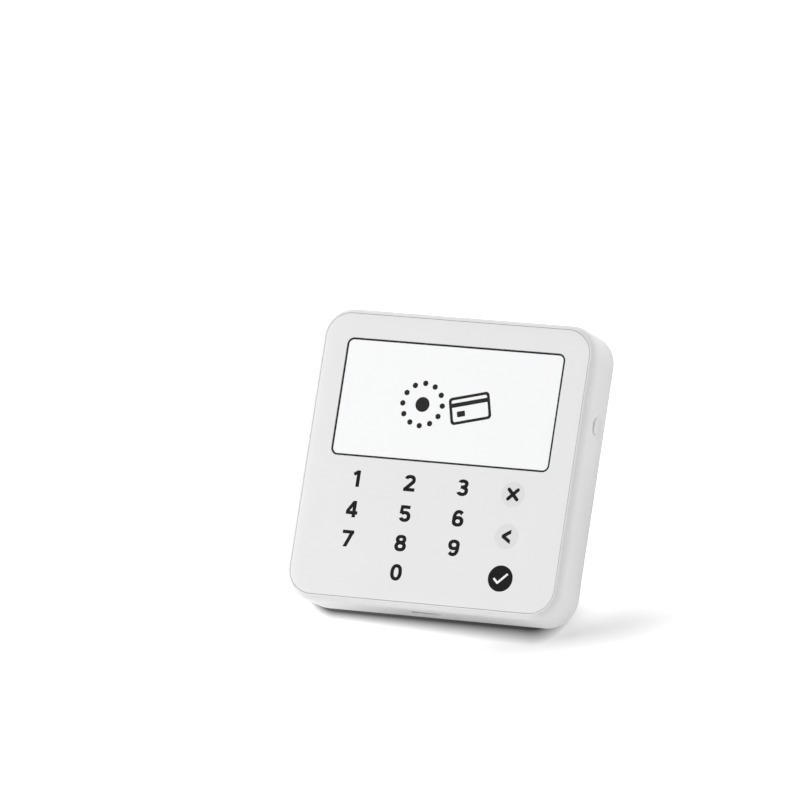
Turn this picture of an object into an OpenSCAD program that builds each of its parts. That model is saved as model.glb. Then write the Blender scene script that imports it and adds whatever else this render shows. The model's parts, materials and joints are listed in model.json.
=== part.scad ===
// Card payment terminal: a square hand-held reader with a flush display, a flat touch keypad,
// a chip-card slot in the display end, a power button and a charging socket.
// It lies on its back. +Z points out of the printed face, +Y towards the display end, +X to the
// right of someone reading the display. The origin is in the middle of the plane the feet rest on.
// All sizes are in millimetres.

/* [Casing] */
// Side of the square casing, measured across the flat sides
case_w = 83; // [82:0.5:86]
// Thickness from the plane under the feet to the printed face
case_t = 17.8; // [17:0.1:18.5]
// Radius of the casing's four upright corners
corner_r = 8.7; // [8.4:0.1:9.4]
// Height of the rounded edge between the seam and the flat side
front_round = 3.2; // [2.8:0.1:3.4]
// Radius of the edge round the rear face
rear_round = 2.9; // [2:0.1:3.2]
// Thickness of the casing's flat sides
side_t = 2.3; // [2:0.1:2.4]
// Thickness of the casing's rear wall
floor_t = 1.6; // [1.5:0.1:1.8]

/* [Face plate] */
// Distance from the casing's side to the edge of the face plate
face_inset = 1.66; // [1.6:0.02:1.9]
// How far the face plate's edge lies below its flat middle
face_drop = 0.2; // [0.1:0.05:0.4]
// Thickness of the face plate in its flat middle
face_t = 1.2; // [1.1:0.05:1.25]
// Gap of the seam between face plate and casing
seam_gap = 0.12; // [0.08:0.01:0.2]

/* [Display] */
// Width of the display window
display_w = 66; // [64:0.1:66]
// Height of the display window
display_h = 33.4; // [32:0.1:33.5]
// Distance of the window's middle from the middle of the face, towards the display end
display_y = 16.25; // [16:0.05:16.3]
// Corner radius of the display window
display_r = 2; // [1:0.1:2.5]

/* [Card reader] */
// Width of the card's path
path_w = 54.5; // [54.2:0.1:54.8]
// Height of the card's path
path_h = 1.1; // [1:0.05:1.2]
// How deep the leading edge of a card goes, from the casing's outside
card_depth = 44; // [43:0.5:45]
// Width of each contact spring
contact_w = 1.2; // [1:0.1:1.4]

/* [Power button] */
// Distance of the button from the middle of the face, towards the display end
button_y = 15; // [13:0.1:17]
// Height of the button's middle above the rest plane
button_z = 9.2; // [8.8:0.1:9.4]
// Length of the pill-shaped button cap
button_l = 4.8; // [4.4:0.1:5.2]
// Width of the pill-shaped button cap
button_w = 2.6; // [2.4:0.1:3]
// Diameter of the shallow finger dish round the button
dish_d = 8; // [7.4:0.1:8.4]
// Depth of the finger dish
dish_h = 0.5; // [0.4:0.05:0.6]

/* [Charging socket] */
// Distance of the socket from the middle of the near edge
socket_x = 0; // [-0.5:0.1:1]
// Outside width of the socket's metal shell
socket_w = 8.94; // [8.9:0.02:9]
// Outside height of the socket's metal shell
socket_h = 3.2; // [3.16:0.02:3.26]

/* [Feet and screws] */
// Distance of each foot and rear screw from both centre lines
foot_xy = 31.5; // [31:0.1:32]
// Radius of a foot
foot_r = 4.5; // [4:0.1:4.6]
// How far the feet stand out of the rear face
foot_h = 0.8; // [0.6:0.1:1]

/* [Hidden] */
$fn = 48;
// Smallest gap between two pieces that only lie against each other
fit = 0.05;
// How far a cutting shape runs past the surface that it cuts
over = 1;

// Plan of the casing
half_w = case_w / 2;
corner_c = half_w - corner_r;
side_in = half_w - side_t;
seam_r = corner_r - face_inset;
face_half = half_w - face_inset;
frame_half = face_half - 2;
board_half = frame_half - 0.5;

// Heights, from the rear wall to the face
rear_z = foot_h;
floor_z = rear_z + floor_t;
face_z = case_t;
seam_z = face_z - face_drop;
face_under = face_z - face_t;
ledge_z = face_z - 3.2;
film_t = 0.35;
film_z = face_under - fit - film_t;
frame_top = film_z - fit;
frame_bottom = face_z - 4.4;
tray_t = 0.6;
board_t = 1;
board_top = frame_bottom - 0.1;
board_bottom = board_top - board_t;
path_top = board_bottom - 2.2;
path_bottom = path_top - path_h;
path_z = (path_top + path_bottom) / 2;
guide_t = 0.55;
guide_z = path_bottom - fit - guide_t;

// Display stack
panel_w = display_w + 1.6;
panel_h = display_h + 2.1;
panel_t = 0.65;
panel_z = frame_top - panel_t;
panel_edge = display_y - panel_h / 2;
light_t = 1.4;
light_z = panel_z - fit - light_t;
antenna_w = panel_w + 5;
antenna_h = panel_h + 4.8;
antenna_band = 2.1;
antenna_z = frame_top - 0.35;
ferrite_z = antenna_z - 0.4;

// Card path, seen from the face
path_end = half_w - card_depth;
reader_w = path_w + 2.5;
reader_y0 = path_end - 6;
reader_y1 = side_in - 0.2;
finger_l = 6.1;
finger_pivot_z = path_top + 0.9;
finger_root_r = 0.25;
// The chip's contacts lie 7.62 apart along the card and 2.54 apart across it
inner_pivot_y = path_end + 11.25 + finger_l - 0.9;
outer_pivot_y = inner_pivot_y + 7.62;
contact_xs = [for (i = [0:3]) -6.91 + 2.54 * i];
blade_x = 15.5;
blade_y = path_end - 2.9;
blade_h = path_h - 0.25;

// Ball that cuts the finger dish
dish_ball_r = (pow(dish_d / 2, 2) + pow(dish_h, 2)) / (2 * dish_h);

// Power switch
switch_w = 6;
switch_h = board_bottom - button_z + 1.7;
switch_x1 = board_half;
switch_x0 = switch_x1 - 4;
plunger_x1 = side_in - 1;
flange_t = 0.9;

// Charging socket, soldered under the board's edge
socket_z = board_bottom - socket_h / 2;
socket_y0 = -half_w + 0.1;
socket_y1 = -board_half + 3.4;

// Battery, on its side of the rear wall
battery_w = 54;
battery_h = 50;
battery_y = 2;
pad_t = 0.4;
battery_z = floor_z + pad_t;
battery_t = guide_z - 0.4 - battery_z;
wire_r = 0.45;
plug_x = -6;
plug_y = battery_y - battery_h / 2 - 3;
plug_z = board_bottom - 3.6;

// Round parts
boss_r = 3;
post_r = 2.6;
post_z = floor_z + 3.6;
screw_r = 1;
head_r = 1.9;
head_t = 1.15;
head_z = rear_z + 0.9;
buzzer_x = -20;
buzzer_y = -32;
buzzer_r = 6;
buzzer_t = 4;
coin_x = 20.5;
coin_y = -29;
coin_r = 6.25;
label_w = 34;
label_h = 20;

// ---- Shared shapes ----

// Outline of a rectangle with rounded corners, counter-clockwise from the right
function round_rect(w, h, r, steps = 8) = [
    for (corner = [0:3], step = [0:steps])
        let (
            angle = 90 * corner + 90 * step / steps,
            side_x = corner == 0 || corner == 3 ? 1 : -1,
            side_y = corner < 2 ? 1 : -1
        )
        [side_x * (w / 2 - r) + r * cos(angle), side_y * (h / 2 - r) + r * sin(angle)]
];

// Points of a quarter ellipse from angle a0 to angle a1 about [x, y]
function arc(x, y, rx, ry, a0, a1, steps = 8) = [
    for (step = [0:steps])
        let (angle = a0 + (a1 - a0) * step / steps)
        [x + rx * cos(angle), y + ry * sin(angle)]
];

// A flat plate with rounded corners between two heights
module plate(w, h, r, z0, z1) {
    translate([0, 0, z0]) linear_extrude(z1 - z0) polygon(round_rect(w, h, r));
}

// A flat frame: a plate with a smaller plate taken out of it
module plate_ring(w, h, r, band, z0, z1) {
    difference() {
        plate(w, h, r, z0, z1);
        plate(w - 2 * band, h - 2 * band, max(r - band, 0.2), z0 - over, z1 + over);
    }
}

// A box given by its lowest and highest corners
module block(low, high) {
    translate(low) cube(high - low);
}

// Sweeps a profile of [distance outwards from the corner's centre, height] round the casing
module sweep_casing() {
    for (turn = [0:3])
        rotate(90 * turn) translate([corner_c, corner_c, 0]) {
            rotate_extrude(angle = 90) children();
            rotate([90, 0, 0]) linear_extrude(2 * corner_c) children();
        }
}

// A profile drawn as [y, z] and carried across in x
module strip_x(x0, x1, points) {
    translate([x0, 0, 0]) rotate([90, 0, 90]) linear_extrude(x1 - x0) polygon(points);
}

// A pill-shaped bar that lies along x, its pill drawn across y and z
module pill_x(x0, x1, y, z, l, w) {
    translate([x0, y, z]) rotate([90, 0, 90]) linear_extrude(x1 - x0) polygon(round_rect(l, w, w / 2 - 0.01));
}

// A pill-shaped bar that lies along y, its pill drawn across x and z
module pill_y(y0, y1, x, z, w, h) {
    translate([x, y1, z]) rotate([90, 0, 0]) linear_extrude(y1 - y0) polygon(round_rect(w, h, h / 2 - 0.01));
}

// Repeats its children at the four corners of a square
module four_corners(distance) {
    for (x = [-1, 1], y = [-1, 1])
        translate([x * distance, y * distance, 0]) children();
}

// ---- Casing ----

// Section through the casing's side: rear wall, rounded rear edge, flat side, rounded front edge
shell_section = concat(
    [[0, rear_z]],
    arc(corner_r - rear_round, rear_z + rear_round, rear_round, rear_round, -90, 0),
    arc(seam_r + seam_gap, seam_z - front_round, face_inset - seam_gap, front_round, 0, 90, 10),
    [
        [seam_r + seam_gap, ledge_z],
        [corner_r - side_t, ledge_z],
        [corner_r - side_t, floor_z + 1],
        [corner_r - side_t - 1, floor_z],
        [0, floor_z]
    ]
);

module rear_shell() {
    slot_h = path_h + 0.2;
    slot_w = path_w + 0.5;
    slot_low = path_z - slot_h / 2;
    slot_high = path_z + slot_h / 2;
    mouth = 0.75;
    // Bosses and ribs start inside the rear wall
    root_z = rear_z + 0.3;
    color("whitesmoke") difference() {
        union() {
            sweep_casing() polygon(shell_section);
            block([-corner_c, -corner_c, rear_z], [corner_c, corner_c, floor_z]);
            four_corners(foot_xy) translate([0, 0, root_z]) cylinder(r = boss_r, h = post_z - 0.1 - root_z);
            battery_ribs();
            translate([buzzer_x, buzzer_y, root_z]) cylinder(r = buzzer_r + 0.9, h = floor_z + 1.5 - root_z);
        }
        four_corners(foot_xy) {
            translate([0, 0, rear_z - over]) cylinder(r = foot_r + 0.1, h = over + 0.7);
            translate([0, 0, rear_z - over]) cylinder(r = head_r + 0.15, h = over + head_z + head_t - rear_z);
            translate([0, 0, rear_z]) cylinder(r = screw_r + 0.15, h = post_z);
        }
        // Seat of the buzzer and the holes that let its sound out
        translate([buzzer_x, buzzer_y, floor_z]) cylinder(r = buzzer_r + 0.1, h = buzzer_t);
        translate([buzzer_x, buzzer_y, rear_z - over]) buzzer_holes();
        // Shallow recess for the rating label
        plate(label_w + 0.4, label_h + 0.4, 1.5, rear_z - over, rear_z + 0.15);
        // Card slot, with a mouth that opens towards the outside
        block([-slot_w / 2, side_in - over, slot_low], [slot_w / 2, half_w + over, slot_high]);
        strip_x(-slot_w / 2 - 0.6, slot_w / 2 + 0.6, [
            [half_w - 1.1, slot_low], [half_w + 0.2, slot_low - mouth],
            [half_w + 0.2, slot_high + mouth], [half_w - 1.1, slot_high]
        ]);
        // Opening of the charging socket
        pill_y(-half_w - over, -side_in + over, socket_x, socket_z, socket_w + 0.16, socket_h + 0.16);
        // Finger dish and opening of the power button
        translate([half_w + dish_ball_r - dish_h, button_y, button_z]) sphere(r = dish_ball_r, $fn = 96);
        pill_x(side_in - over, half_w + over, button_y, button_z, button_l + 0.14, button_w + 0.14);
    }
}

// Low ribs that keep the battery in place
module battery_ribs() {
    rib_x = battery_w / 2 + 1.1;
    rib_y = battery_y - battery_h / 2 - 1;
    root_z = floor_z - 0.3;
    for (side = [-1, 1])
        block([side * rib_x - 0.5, -18, root_z], [side * rib_x + 0.5, 22, floor_z + 3]);
    block([-10, rib_y - 0.4, root_z], [10, rib_y + 0.5, floor_z + 1.6]);
}

module buzzer_holes() {
    hole_r = 0.5;
    cylinder(r = hole_r, h = 6);
    for (i = [0:5])
        rotate(60 * i) translate([2.2, 0, 0]) cylinder(r = hole_r, h = 6);
}

module rear_screws() {
    shank_z = head_z + head_t;
    color("silver") four_corners(foot_xy) difference() {
        union() {
            translate([0, 0, head_z]) cylinder(r = head_r, h = head_t);
            translate([0, 0, shank_z - 0.1]) cylinder(r = screw_r, h = board_bottom - 0.6 - shank_z);
        }
        translate([0, 0, head_z - 0.1]) cylinder(r = 0.75, h = 0.8, $fn = 6);
    }
}

module rubber_feet() {
    color("dimgray") four_corners(foot_xy) {
        cylinder(r1 = foot_r - 0.3, r2 = foot_r, h = 0.3);
        translate([0, 0, 0.3]) cylinder(r = foot_r, h = foot_h + 0.7 - 0.3);
    }
}

module rating_label() {
    color("gainsboro") plate(label_w, label_h, 1.3, rear_z + 0.03, rear_z + 0.15);
}

// ---- Face ----

// Height of the face plate at a distance from the corner's centre: flat, then rolling off
function face_height(r) = face_z - face_drop * pow(r / seam_r, 5);

face_section = concat(
    [for (i = [0:14]) let (r = seam_r * i / 14) [r, face_height(r)]],
    [
        [seam_r, seam_z - 0.4],
        [seam_r - 0.1, seam_z - 0.5],
        [seam_r - 0.1, ledge_z + fit],
        [seam_r - 1.7, ledge_z + fit],
        [seam_r - 1.7, face_under],
        [0, face_under]
    ]
);

module face_plate() {
    color("white") difference() {
        union() {
            sweep_casing() polygon(face_section);
            block([-corner_c, -corner_c, face_under], [corner_c, corner_c, face_z]);
        }
        translate([0, display_y, 0])
            plate(display_w + 2 * fit, display_h + 2 * fit, display_r + fit,
                face_under - over, face_z + over);
    }
}

module display_window() {
    color("ghostwhite", 0.6) translate([0, display_y, 0])
        plate(display_w, display_h, display_r, face_under, face_z);
}

module cover_adhesive() {
    color("khaki") difference() {
        plate_ring(2 * frame_half - 0.2, 2 * frame_half - 0.2, 5, 1, frame_top, face_under);
        block([-28.5, -half_w, frame_top - over], [-19.5, -frame_half + 2, face_under + over]);
    }
}

module touch_film() {
    size = 2 * frame_half - 2.6;
    color("lightcyan") plate(size, size, 4.4, film_z, film_z + film_t);
}

// Ribbon from the touch film round the frame's edge to its connector
module touch_flex() {
    edge = -(frame_half - 1.3);
    run_z = frame_bottom + 0.74;
    color("darkorange") strip_x(-27, -21, [
        [edge, film_z + 0.12], [edge - 0.75, film_z + 0.12], [edge - 1, film_z - 0.15],
        [edge - 1, run_z + 0.26], [edge - 0.75, run_z], [edge + 2.8, run_z],
        [edge + 2.8, run_z + 0.12], [edge - 0.7, run_z + 0.12], [edge - 0.88, run_z + 0.3],
        [edge - 0.88, film_z - 0.2], [edge - 0.7, film_z], [edge, film_z]
    ]);
}

module lcd_panel() {
    color("lightsteelblue") translate([0, display_y, 0])
        plate(panel_w, panel_h, 0.5, panel_z, panel_z + panel_t);
}

module backlight() {
    color("white") translate([0, display_y + 0.6, 0])
        plate(panel_w, panel_h - 1.2, 0.5, light_z, light_z + light_t);
}

// Ribbon from under the panel's lower edge to its connector
module display_flex() {
    run_z = board_top + 0.88;
    color("darkorange") strip_x(-9, 9, [
        [panel_edge + 1.1, panel_z - 0.02], [panel_edge - 0.1, panel_z - 0.02],
        [panel_edge - 1.4, run_z + 0.12], [panel_edge - 4, run_z + 0.12],
        [panel_edge - 4, run_z], [panel_edge - 1.45, run_z],
        [panel_edge - 0.15, panel_z - 0.14], [panel_edge + 1.1, panel_z - 0.14]
    ]);
}

module antenna_sheet() {
    color("sandybrown") translate([0, display_y, 0])
        plate_ring(antenna_w, antenna_h, 2.4, antenna_band, antenna_z, antenna_z + 0.2);
}

// Four copper turns laid one inside the other on the antenna sheet
module antenna_coil() {
    pitch = 0.45;
    color("chocolate") translate([0, display_y, 0])
        for (turn = [0:3])
            let (inset = 0.3 + 2 * pitch * turn)
                plate_ring(antenna_w - inset, antenna_h - inset, 2.5 - inset / 2, 0.25,
                    antenna_z + 0.2, antenna_z + 0.27);
}

module ferrite_sheet() {
    color("dimgray") translate([0, display_y, 0])
        plate_ring(antenna_w, antenna_h, 2.4, antenna_band, ferrite_z, ferrite_z + 0.3);
}

// ---- Frame and board ----

pad_places = [[-18, -14], [18, -14], [-18, -28], [18, -28]];
board_screw_places = [[-34.2, -8], [34.2, -8], [-10, -34.3], [10, -34.3]];

// Chassis that carries the display, the touch film and the board
module inner_frame() {
    low = frame_bottom - over;
    color("gray") difference() {
        union() {
            plate(2 * frame_half, 2 * frame_half, 5.1, frame_bottom, frame_top);
            four_corners(foot_xy)
                translate([0, 0, post_z]) cylinder(r = post_r, h = frame_bottom + 0.3 - post_z);
        }
        translate([0, display_y, 0]) {
            plate(panel_w + 0.8, panel_h + 0.6, 0.7, frame_bottom + tray_t, frame_top + over);
            plate(antenna_w + 0.4, antenna_h + 0.4, 2.6, ferrite_z - fit, frame_top + over);
        }
        // Room for the display's and the touch film's ribbons
        block([-13, panel_edge - 8.5, low], [13, panel_edge - 0.2, frame_top + over]);
        block([-28.8, -half_w, low], [-19, -frame_half + 7.2, frame_top + over]);
        for (place = pad_places)
            translate([place[0], place[1], low]) cylinder(r = 1.8, h = over + 0.95);
        for (place = board_screw_places)
            translate([place[0], place[1], low]) cylinder(r = 0.82, h = over + 1.85);
        four_corners(foot_xy)
            translate([0, 0, post_z - over]) cylinder(r = screw_r + 0.02, h = board_bottom - post_z + over);
    }
}

module main_board() {
    // The corners stay clear of the frame's screw posts
    notch = foot_xy - post_r - 0.3;
    low = board_bottom - over;
    color("darkgreen") difference() {
        block([-board_half, -board_half, board_bottom], [board_half, board_half, board_top]);
        for (turn = [0:3])
            rotate(90 * turn) block([notch, notch, low], [half_w, half_w, board_top + over]);
        for (place = board_screw_places)
            translate([place[0], place[1], low]) cylinder(r = 0.95, h = board_t + 2 * over);
    }
}

module board_screws() {
    color("silver") for (place = board_screw_places)
        translate([place[0], place[1], board_bottom]) difference() {
            union() {
                translate([0, 0, -1]) cylinder(r = 1.5, h = 1);
                translate([0, 0, -0.1]) cylinder(r = 0.8, h = board_t + 1.8);
            }
            translate([0, 0, -1.1]) cylinder(r = 0.6, h = 0.7, $fn = 6);
        }
}

// Sockets on the board's face side that hold the two ribbons
module flex_connectors() {
    display_edge = panel_edge - 4;
    touch_edge = -frame_half + 4.1;
    color("ivory") {
        block([-11, display_edge - 3, board_top], [11, display_edge, board_top + 1.1]);
        block([-28, touch_edge, board_top], [-20, touch_edge + 2.4, board_top + 1.1]);
    }
}

// Conductive pads that the frame presses on the board, so that opening the casing is noticed
module tamper_pads() {
    color("black") for (place = pad_places)
        translate([place[0], place[1], board_top]) cylinder(r = 1.5, h = 1);
}

// A chip soldered under the board, given by its middle and its size
module chip(x, y, w, h, t) {
    block([x - w / 2, y - h / 2, board_bottom - t], [x + w / 2, y + h / 2, board_bottom]);
}

module main_processor() color("black") chip(-2, -16.5, 10, 10, 0.9);

module memory_chip() color("black") chip(-15, -16.5, 8, 9, 0.8);

module power_chip() color("black") chip(-26, -16.5, 5, 5, 0.8);

module wireless_module() color("darkslategray") chip(17, -15.5, 12.5, 8, 0.9);

// Pressed metal lid over the wireless module
module shield_can() {
    color("silver") difference() {
        chip(17, -15.5, 14.5, 10, 1.6);
        block([10.05, -20.2, board_bottom - 1.4], [23.95, -10.8, board_bottom + over]);
    }
}

module board_components() {
    color("tan") {
        for (i = [0:5]) {
            chip(-30.5 + 2.4 * i, -22.3, 0.8, 1.6, 0.6);
            chip(-30.5 + 2.4 * i, -10.8, 0.8, 1.6, 0.6);
        }
        for (i = [0:3])
            chip(30.5, -22 + 4 * i, 2, 1.2, 0.9);
    }
}

module coin_cell() {
    color("lightgray") translate([coin_x, coin_y, board_bottom - 2.1]) cylinder(r = coin_r, h = 2);
}

// Sprung clip that holds the backup cell against the board
module coin_cell_clip() {
    strap_w = 5;
    gap = 0.1;
    color("silver") difference() {
        translate([coin_x - coin_r - 0.35, coin_y - strap_w / 2, board_bottom - 2.4])
            cube([2 * coin_r + 0.7, strap_w, 2.4]);
        translate([coin_x, coin_y, board_bottom - 2.1 - gap]) cylinder(r = coin_r + gap, h = 3);
    }
}

// ---- Chip-card reader ----

// Moulded body between the board and the card, with a window over each contact spring
module reader_body() {
    half = reader_w / 2;
    rail_top = path_top + 0.2;
    window_x = contact_w / 2 + 0.3;
    color("dimgray") difference() {
        union() {
            block([-half, reader_y0, path_top], [half, reader_y1, board_bottom - fit]);
            block([-half, reader_y0, path_bottom], [-path_w / 2, reader_y1, rail_top]);
            block([path_w / 2, reader_y0, path_bottom], [half, reader_y1, rail_top]);
            block([-half, path_end - 1.5, path_bottom], [half, path_end - 0.1, rail_top]);
        }
        for (x = contact_xs, y = [inner_pivot_y, outer_pivot_y])
            block([x - window_x, y - finger_l - 0.4, path_top - over],
                  [x + window_x, y + 0.4, board_bottom + over]);
        // Gap in the end wall for the nose of the card-detect blade
        block([blade_x - 9.6, path_end - 2, path_bottom - over], [blade_x - 5.3, path_end + over, path_top]);
        // Moulding recesses over the card's plain halves
        for (x = [-18.5, 18.5])
            block([x - 7, path_end + 3, path_top + 0.8], [x + 7, reader_y1 - 3, board_bottom + over]);
    }
}

// Thin steel guide that carries the card's lower side
module reader_cover() {
    color("silver") difference() {
        block([-reader_w / 2, reader_y0, guide_z], [reader_w / 2, reader_y1, guide_z + guide_t]);
        for (x = [-16, 16])
            translate([x, (path_end + reader_y1) / 2, 0])
                plate(12, 26, 1.5, guide_z - over, guide_z + guide_t + over);
    }
}

// Fixed solder tails of the contact springs and of the card-detect blade
module contact_tails() {
    tail_z = finger_pivot_z + finger_root_r + 0.1;
    color("gold") {
        for (x = contact_xs, y = [inner_pivot_y, outer_pivot_y])
            block([x - contact_w / 2, y - 0.3, tail_z], [x + contact_w / 2, y + 0.3, board_bottom]);
        block([blade_x + 0.35, blade_y - 0.3, path_top - blade_h], [blade_x + 1, blade_y + 0.3, path_top]);
    }
}

// One leaf spring: a round root at the pivot, a falling arm and a bent nose that meets the chip
module contact_spring(x, pivot_y) {
    translate([x - contact_w / 2, pivot_y, finger_pivot_z]) {
        rotate([0, 90, 0]) cylinder(r = finger_root_r, h = contact_w);
        strip_x(0, contact_w, [
            [0, -0.2], [0, 0.05], [-4.4, -0.95], [-5.2, -1.3], [-finger_l, -0.75],
            [-finger_l, -1], [-5.2, -1.55], [-4.4, -1.2]
        ]);
    }
}

module inner_contacts() color("gold") for (x = contact_xs) contact_spring(x, inner_pivot_y);

module outer_contacts() color("gold") for (x = contact_xs) contact_spring(x, outer_pivot_y);

// Leaf that the card's leading edge pushes aside
module card_detect_blade() {
    color("gold") translate([blade_x, blade_y, path_top - fit - blade_h]) {
        cylinder(r = 0.25, h = blade_h);
        linear_extrude(blade_h) polygon([
            [0, 0.12], [-6.1, 0.12], [-7.1, 3.7], [-7.5, 3.7], [-8.5, 0.12], [-9, 0.12],
            [-9, -0.08], [-8.35, -0.08], [-7.3, 3.4], [-6.25, -0.08], [0, -0.08]
        ]);
    }
}

// Fixed contact that the pushed leaf closes against
module card_detect_contact() {
    color("gold") {
        block([blade_x - 9.7, blade_y - 1.75, path_top - blade_h], [blade_x - 6.5, blade_y - 1.5, path_top]);
        block([blade_x - 9.7, blade_y - 2.6, path_top - 0.3], [blade_x - 8.5, blade_y - 1.7, path_top]);
    }
}

// ---- Charging socket ----

module usb_shell() {
    shell_t = 0.3;
    color("silver") difference() {
        pill_y(socket_y0, socket_y1, socket_x, socket_z, socket_w, socket_h);
        pill_y(socket_y0 - over, socket_y1 - shell_t, socket_x, socket_z,
            socket_w - 2 * shell_t, socket_h - 2 * shell_t);
    }
}

// Plastic tongue that stands in the middle of the socket
module usb_tongue() {
    color("ivory") {
        block([socket_x - 3.35, socket_y0 + 0.5, socket_z - 0.35],
              [socket_x + 3.35, socket_y1 - 2.2, socket_z + 0.35]);
        pill_y(socket_y1 - 2.2, socket_y1 - 0.35, socket_x, socket_z, socket_w - 0.7, socket_h - 0.7);
    }
}

module usb_contacts() {
    color("gold") for (i = [0:11], side = [-1, 1])
        translate([socket_x - 2.75 + 0.5 * i, (socket_y0 + socket_y1 - 1.1) / 2, socket_z + side * 0.38])
            cube([0.25, 4, 0.06], center = true);
}

// ---- Power button ----

module switch_body() {
    color("black") difference() {
        block([switch_x0, button_y - switch_w / 2, board_bottom - switch_h],
              [switch_x1, button_y + switch_w / 2, board_bottom]);
        block([switch_x0 + 1.4, button_y - 1.25, button_z - 0.75],
              [switch_x1 + over, button_y + 1.25, button_z + 0.75]);
    }
}

module switch_plunger() {
    color("ivory")
        block([switch_x0 + 2, button_y - 1.2, button_z - 0.7], [plunger_x1, button_y + 1.2, button_z + 0.7]);
}

// Cap that shows in the finger dish, with a wide flange that keeps it in the casing
module power_button() {
    crown_x = half_w - 0.42;
    color("whitesmoke") {
        pill_x(side_in - fit - flange_t, side_in - fit, button_y, button_z, button_l + 2.4, button_w + 2.4);
        pill_x(side_in - fit - 0.1, crown_x, button_y, button_z, button_l, button_w);
        // Crown, bevelled all round
        translate([crown_x, button_y, button_z]) rotate([90, 0, 90])
            linear_extrude(half_w - fit - crown_x, slices = 1, scale = [1 - 0.7 / button_l, 1 - 0.7 / button_w])
                polygon(round_rect(button_l, button_w, button_w / 2 - 0.01));
    }
}

// ---- Battery and buzzer ----

module battery() {
    color("slategray") translate([0, battery_y, 0])
        plate(battery_w, battery_h, 2, battery_z, battery_z + battery_t);
}

module battery_pads() {
    color("black") for (side = [-1, 1])
        translate([side * 15, battery_y, 0]) plate(12, battery_h - 8, 1, floor_z, battery_z);
}

// Three wires that leave the battery, bend towards the board and enter the plug
module battery_wires() {
    edge = battery_y - battery_h / 2;
    z = battery_z + 2.4;
    bend = 1;
    rise = plug_y - edge + bend;
    color("firebrick") for (i = [-1:1])
        translate([plug_x + 1.5 * i, edge, z]) {
            rotate([90, 0, 0]) cylinder(r = wire_r, h = -rise);
            translate([0, rise, bend]) rotate([0, 90, 0]) rotate([0, 0, -90])
                rotate_extrude(angle = 90) translate([bend, 0]) circle(r = wire_r);
            translate([0, rise - bend, bend]) cylinder(r = wire_r, h = plug_z - z - bend);
        }
}

module battery_plug() {
    color("ivory")
        block([plug_x - 2.6, plug_y - 1.3, plug_z], [plug_x + 2.6, plug_y + 1.3, board_bottom - 1.85]);
}

module battery_header() {
    color("ivory")
        block([plug_x - 3, plug_y - 1.5, board_bottom - 1.8], [plug_x + 3, plug_y + 1.5, board_bottom]);
}

module buzzer() {
    color("black") translate([buzzer_x, buzzer_y, floor_z + fit]) difference() {
        cylinder(r = buzzer_r, h = buzzer_t);
        translate([0, 0, -0.1]) cylinder(r = 3.4, h = 0.6);
    }
}

module buzzer_springs() {
    color("gold") for (side = [-1, 1])
        translate([buzzer_x + 2.2 * side, buzzer_y, floor_z + fit + buzzer_t])
            cylinder(r = 0.6, h = board_bottom - floor_z - fit - buzzer_t);
}

rear_shell();
rear_screws();
rubber_feet();
rating_label();
face_plate();
display_window();
cover_adhesive();
touch_film();
touch_flex();
lcd_panel();
backlight();
display_flex();
antenna_sheet();
antenna_coil();
ferrite_sheet();
inner_frame();
main_board();
board_screws();
flex_connectors();
tamper_pads();
main_processor();
memory_chip();
power_chip();
wireless_module();
shield_can();
board_components();
coin_cell();
coin_cell_clip();
reader_body();
reader_cover();
contact_tails();
inner_contacts();
outer_contacts();
card_detect_blade();
card_detect_contact();
usb_shell();
usb_tongue();
usb_contacts();
switch_body();
switch_plunger();
power_button();
battery();
battery_pads();
battery_wires();
battery_plug();
battery_header();
buzzer();
buzzer_springs();
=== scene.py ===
"""Looks of a square card payment terminal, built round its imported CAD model.

Everything lies in the row frame, which the CAD model and this script share: metres, with +X to the
right, +Y towards the display end and +Z out of the face. Sizes below are in millimetres where they
say so, and MM turns them into metres.
"""

import json
import math

import bpy
import numpy as np
from mathutils import Matrix, Vector
from mathutils.bvhtree import BVHTree


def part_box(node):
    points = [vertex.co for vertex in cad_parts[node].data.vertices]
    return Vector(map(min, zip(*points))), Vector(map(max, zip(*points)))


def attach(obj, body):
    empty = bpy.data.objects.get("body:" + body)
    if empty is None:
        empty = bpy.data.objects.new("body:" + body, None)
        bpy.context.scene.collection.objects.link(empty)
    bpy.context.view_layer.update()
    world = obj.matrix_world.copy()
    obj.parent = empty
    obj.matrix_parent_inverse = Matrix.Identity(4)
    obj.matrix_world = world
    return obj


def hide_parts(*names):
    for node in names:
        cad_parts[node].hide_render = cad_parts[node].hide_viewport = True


MM = 0.001
BODY = "terminal"

# ---- Keypad, in millimetres from the centre of the face ----
DIGIT_H = 4.66
DIGIT_W = 3.48
STROKE = 1.06
BAR = 0.96
KEY_COLUMNS = (-23.83, -7.71, 8.32)
KEY_ROWS = (-6.68, -15.3, -23.62, -31.86)
KEY_LAYOUT = ("123", "456", "789", " 0 ")
FUNCTION_COLUMN = 23.56
CANCEL_Y = -7.32
BACK_Y = -19.15
CONFIRM_Y = -30.94
GREY_DISC = 7.0
BLACK_DISC = 7.35
MARK_REACH = 2.4

# ---- Print, in millimetres: how far a layer stands up, and how far each of two layers reaches down ----
INK = 0.012
INK_ROOTS = (0.03, 0.004)
# Spacing of the grids that fill the marks, the plain discs and the display's picture
MARK_CELL = 0.07
DISC_CELL = 0.2
PICTURE_CELL = 0.1

# ---- Display, in millimetres. Depths count down from the back of the pane ----
PANE = 0.15
GLASS_EDGE = 0.05
WINDOW_RADIUS = 2.0
SHEET_INSET = 0.02
SHEET_DEPTH = 0.03
PRINT_DEPTH = 0.028
BORDER = 0.52
BORDER_DEPTH = 0.005
PICTURE_DEPTH = 0.006
PICTURE_SHIFT = (-0.4, -0.6)
PICTURE_APART = 7.2
CARD_TURN = 14
SCREEN_GLOW = 0.11

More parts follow.
